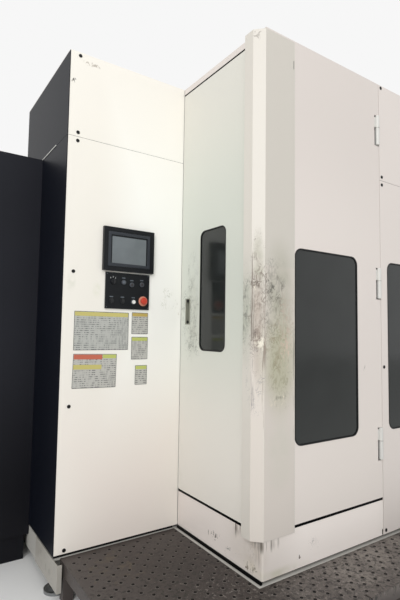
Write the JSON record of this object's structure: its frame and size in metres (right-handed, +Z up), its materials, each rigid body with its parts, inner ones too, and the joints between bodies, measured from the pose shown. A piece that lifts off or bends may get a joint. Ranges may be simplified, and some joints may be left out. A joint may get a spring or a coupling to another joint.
{
  "type": "cnc machining center",
  "caption": "Horizontal machining center with a rotary pallet changer behind a corner door, a tool magazine with display and buttons, a control cabinet and a step.",
  "frame": {"origin": "middle of the footprint's bounding box, on the floor", "axes": "+X to the right along the front, +Y back along the machine's length, +Z up"},
  "size_m": [3.188, 4.375, 2.8],
  "materials": {
    "casting_paint": "satin grey enamel",
    "tray_paint": "light grey powder coat",
    "zinc_steel": "zinc plated",
    "tread_paint": "dark worn coating with raised dots",
    "bracket_paint": "grey paint",
    "door_paint": "off-white powder coat with hand dirt",
    "cover_paint": "white powder coat with grey-brown hand dirt",
    "body_paint": "off-white powder coat",
    "hinge_paint": "painted with the door",
    "inner_paint": "light grey enamel",
    "magazine_paint": "white powder coat",
    "dark_paint": "dark blue-black powder coat",
    "tinted_glass": "dark tinted",
    "display_plastic": "fine textured",
    "black_plastic": "matt",
    "black_gloss": "gloss",
    "white_plastic": "gloss",
    "red_plastic": "gloss orange-red",
    "grey_plastic": "satin",
    "rail_steel": "ground and hardened",
    "ground_steel": "ground",
    "ram_chrome": "hard chrome",
    "drum_steel": "blackened and ground",
    "ground_iron": "ground face",
    "machine_paint": "grey enamel",
    "divider_paint": "light grey enamel",
    "motor_paint": "black-grey enamel",
    "equipment_paint": "dark grey paint",
    "panel_paint": "dark grey textured paint"
  },
  "bodies": {
    "machine": {"bed": "casting_paint", "base_tray": "tray_paint", "levelling_feet": "zinc_steel", "step_platform": "tread_paint", "skirt_bracket": "bracket_paint", "kick_plate": "door_paint", "hinge_post": "body_paint", "hinge_pins": "hinge_paint", "roof_panels": "body_paint", "front_panel_lower": "body_paint", "front_panel_upper": "body_paint", "front_window": "tinted_glass", "outer_panels": "body_paint", "inner_walls": "inner_paint", "magazine_panel_lower": "magazine_paint", "magazine_panel_upper": "magazine_paint", "magazine_side_lower": "dark_paint", "magazine_side_upper": "dark_paint", "magazine_rear": "dark_paint", "control_cabinet": "dark_paint", "hmi_display": "display_plastic", "button_panel": "black_plastic", "changer_base": "casting_paint", "linear_rails": "rail_steel", "drum_motor": "motor_paint", "atc_gearbox": "motor_paint", "chip_conveyor": "equipment_paint", "coolant_tank": "equipment_paint", "cnc_panel": "panel_paint"},
    "setup_door": {"door_left_panel": "door_paint", "door_right_panel": "door_paint", "corner_cover": "cover_paint", "door_windows": "tinted_glass", "door_pull": "grey_plastic", "door_hinges": "hinge_paint"},
    "changer_lift": {"lift_ram": "ram_chrome"},
    "changer_arm": {"changer_arm": "machine_paint", "divider": "divider_paint", "pallets": "ground_iron"},
    "z_table": {"z_saddle": "casting_paint"},
    "b_table": {"rotary_table": "ground_iron"},
    "x_column": {"column": "casting_paint"},
    "y_head": {"spindle_head": "machine_paint"},
    "spindle": {"spindle": "ground_steel"},
    "drum": {"tool_drum": "drum_steel", "tool_holders": "ground_steel"},
    "pinion": {"drum_pinion": "ground_steel"},
    "atc_slide": {"atc_shaft": "ground_steel"},
    "atc_arm": {"atc_arm": "drum_steel"},
    "operator_door": {"operator_door": "body_paint", "operator_window": "tinted_glass"},
    "cabinet_door": {"cabinet_door": "dark_paint"},
    "main_switch": {"main_switch": "black_plastic"},
    "tool_door": {"tool_door": "dark_paint"},
    "estop": {"estop_button": "red_plastic"},
    "selector": {"selector_knob": "black_gloss"},
    "push_white": {"push_white": "white_plastic"},
    "push_left": {"push_left": "black_gloss"},
    "push_mid": {"push_mid": "black_gloss"},
    "cnc_estop": {"cnc_estop": "red_plastic"}
  },
  "joints": [
    {"name": "setup_door_hinge", "type": "hinge", "parent": "machine", "child": "setup_door", "pos_m": [0.443, -1.8625, 1.604], "axis": [0, 0, 1], "range_deg": [0, 100]},
    {"name": "changer_lift", "type": "slide", "parent": "machine", "child": "changer_lift", "axis": [0, 0, 1], "range_m": [-0.06, 0]},
    {"name": "changer_turn", "type": "hinge", "parent": "changer_lift", "child": "changer_arm", "pos_m": [0.458, -0.7625, 1.14], "axis": [0, 0, 1], "range_deg": [0, 180]},
    {"name": "z_slide", "type": "slide", "parent": "machine", "child": "z_table", "axis": [0, 1, 0], "range_m": [0, 0.56]},
    {"name": "table_turn", "type": "hinge", "parent": "z_table", "child": "b_table", "pos_m": [0.458, -0.2025, 0.9], "axis": [0, 0, 1], "continuous": true},
    {"name": "x_slide", "type": "slide", "parent": "machine", "child": "x_column", "axis": [1, 0, 0], "range_m": [-0.28, 0.28]},
    {"name": "y_slide", "type": "slide", "parent": "x_column", "child": "y_head", "axis": [0, 0, 1], "range_m": [0, 0.56]},
    {"name": "spindle_turn", "type": "hinge", "parent": "y_head", "child": "spindle", "pos_m": [0.458, 0.5375, 1.23], "axis": [0, 1, 0], "continuous": true},
    {"name": "drum_turn", "type": "hinge", "parent": "machine", "child": "drum", "pos_m": [-0.844, 0.4875, 1.3], "axis": [0, 1, 0], "continuous": true},
    {"name": "pinion_turn", "type": "hinge", "parent": "machine", "child": "pinion", "pos_m": [-0.844, 0.4875, 1.15], "axis": [0, 1, 0], "continuous": true},
    {"name": "atc_slide", "type": "slide", "parent": "machine", "child": "atc_slide", "axis": [0, -1, 0], "range_m": [0, 0.115]},
    {"name": "atc_turn", "type": "hinge", "parent": "atc_slide", "child": "atc_arm", "pos_m": [-0.162, 0.4075, 1.3], "axis": [0, 1, 0], "range_deg": [0, 270]},
    {"name": "operator_door_slide", "type": "slide", "parent": "machine", "child": "operator_door", "axis": [0, 1, 0], "range_m": [0, 0.95]},
    {"name": "cabinet_door_hinge", "type": "hinge", "parent": "machine", "child": "cabinet_door", "pos_m": [-1.56, -0.0655, 1.24], "axis": [0, 0, -1], "range_deg": [0, 110]},
    {"name": "main_switch_turn", "type": "hinge", "parent": "cabinet_door", "child": "main_switch", "pos_m": [-1.574, -0.5855, 1.7], "axis": [1, 0, 0], "range_deg": [0, 90]},
    {"name": "tool_door_hinge", "type": "hinge", "parent": "machine", "child": "tool_door", "pos_m": [-1.16, 0.5745, 1.268], "axis": [0, 0, -1], "range_deg": [0, 100]},
    {"name": "estop_press", "type": "slide", "parent": "machine", "child": "estop", "axis": [0, 1, 0], "range_m": [0, 0.004]},
    {"name": "selector_turn", "type": "hinge", "parent": "machine", "child": "selector", "pos_m": [-0.886, -1.1405, 1.58], "axis": [0, 1, 0], "range_deg": [0, 90]},
    {"name": "push_white_press", "type": "slide", "parent": "machine", "child": "push_white", "axis": [0, 1, 0], "range_m": [0, 0.003], "stiffness_N_per_m": 500},
    {"name": "push_left_press", "type": "slide", "parent": "machine", "child": "push_left", "axis": [0, 1, 0], "range_m": [0, 0.003], "stiffness_N_per_m": 500},
    {"name": "push_mid_press", "type": "slide", "parent": "machine", "child": "push_mid", "axis": [0, 1, 0], "range_m": [0, 0.003], "stiffness_N_per_m": 500},
    {"name": "cnc_estop_press", "type": "slide", "parent": "machine", "child": "cnc_estop", "axis": [-1, 0, 0], "range_m": [0, 0.008]}
  ],
  "couplings": [
    {"joint": "pinion_turn", "follows": "drum_turn", "ratio": -4}
  ]
}
